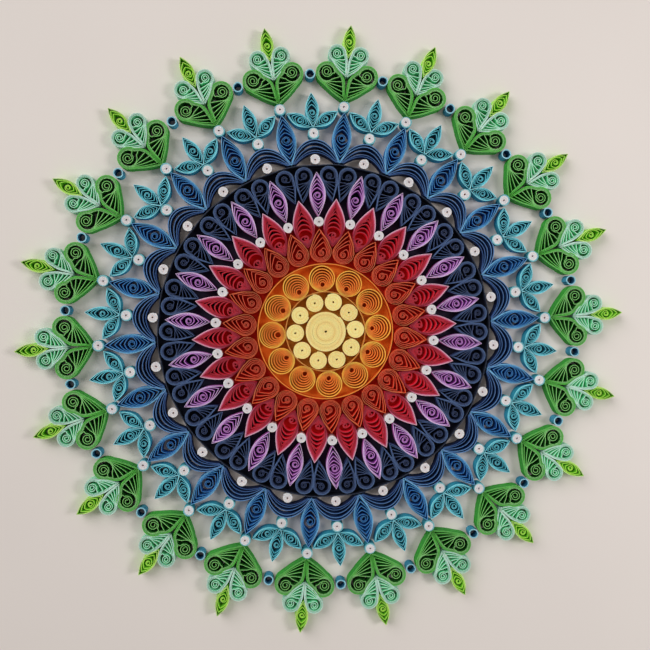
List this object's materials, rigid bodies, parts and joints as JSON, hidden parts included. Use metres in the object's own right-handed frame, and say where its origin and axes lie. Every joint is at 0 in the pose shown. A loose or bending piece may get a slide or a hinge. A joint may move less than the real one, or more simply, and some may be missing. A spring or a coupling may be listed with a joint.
{
  "type": "quilled paper art",
  "caption": "Round mandala of quilled paper: rolled coils, drops and leaves standing on edge in rings on a square card, for a wall or a desk.",
  "frame": {"origin": "middle of the back of the card", "axes": "+Z out of the picture, +Y to its top, +X to its right"},
  "size_m": [0.305, 0.305, 0.0073],
  "materials": {
    "card_white": "matte, faint grain",
    "paper_ground": "matte, gold to orange, red and near black outward",
    "paper_cream": "matte paper edges",
    "paper_gold": "matte paper edges",
    "paper_orange": "matte paper edges",
    "paper_rust": "matte paper edges",
    "paper_flame": "matte paper edges",
    "paper_crimson": "matte paper edges",
    "paper_white": "matte paper edges",
    "paper_orchid": "matte paper edges",
    "paper_navy": "matte paper edges",
    "paper_indigo": "matte paper edges",
    "paper_blue": "matte paper edges",
    "paper_teal": "matte paper edges",
    "paper_green": "matte paper edges",
    "paper_cyan": "matte paper edges",
    "paper_mint": "matte paper edges",
    "paper_lime": "matte paper edges"
  },
  "bodies": {
    "root": {"backing_card": "card_white", "ground_paper": "paper_ground", "centre_coil": "paper_cream", "yellow_rolls": "paper_cream", "inner_ring_strip": "paper_gold", "orange_coils": "paper_orange", "orange_ring_strip": "paper_rust", "flame_drops": "paper_flame", "red_petals": "paper_crimson", "petal_beads": "paper_white", "purple_leaves": "paper_orchid", "navy_drops": "paper_navy", "dark_ring_strip": "paper_navy", "navy_arches": "paper_indigo", "arch_beads": "paper_white", "blue_leaves": "paper_blue", "sprig_beads": "paper_white", "teal_leaves": "paper_teal", "teal_side_leaves": "paper_teal", "tip_beads": "paper_white", "green_drops": "paper_green", "blue_tubes": "paper_cyan", "mint_drops": "paper_mint", "lime_leaves": "paper_lime"}
  },
  "joints": []
}
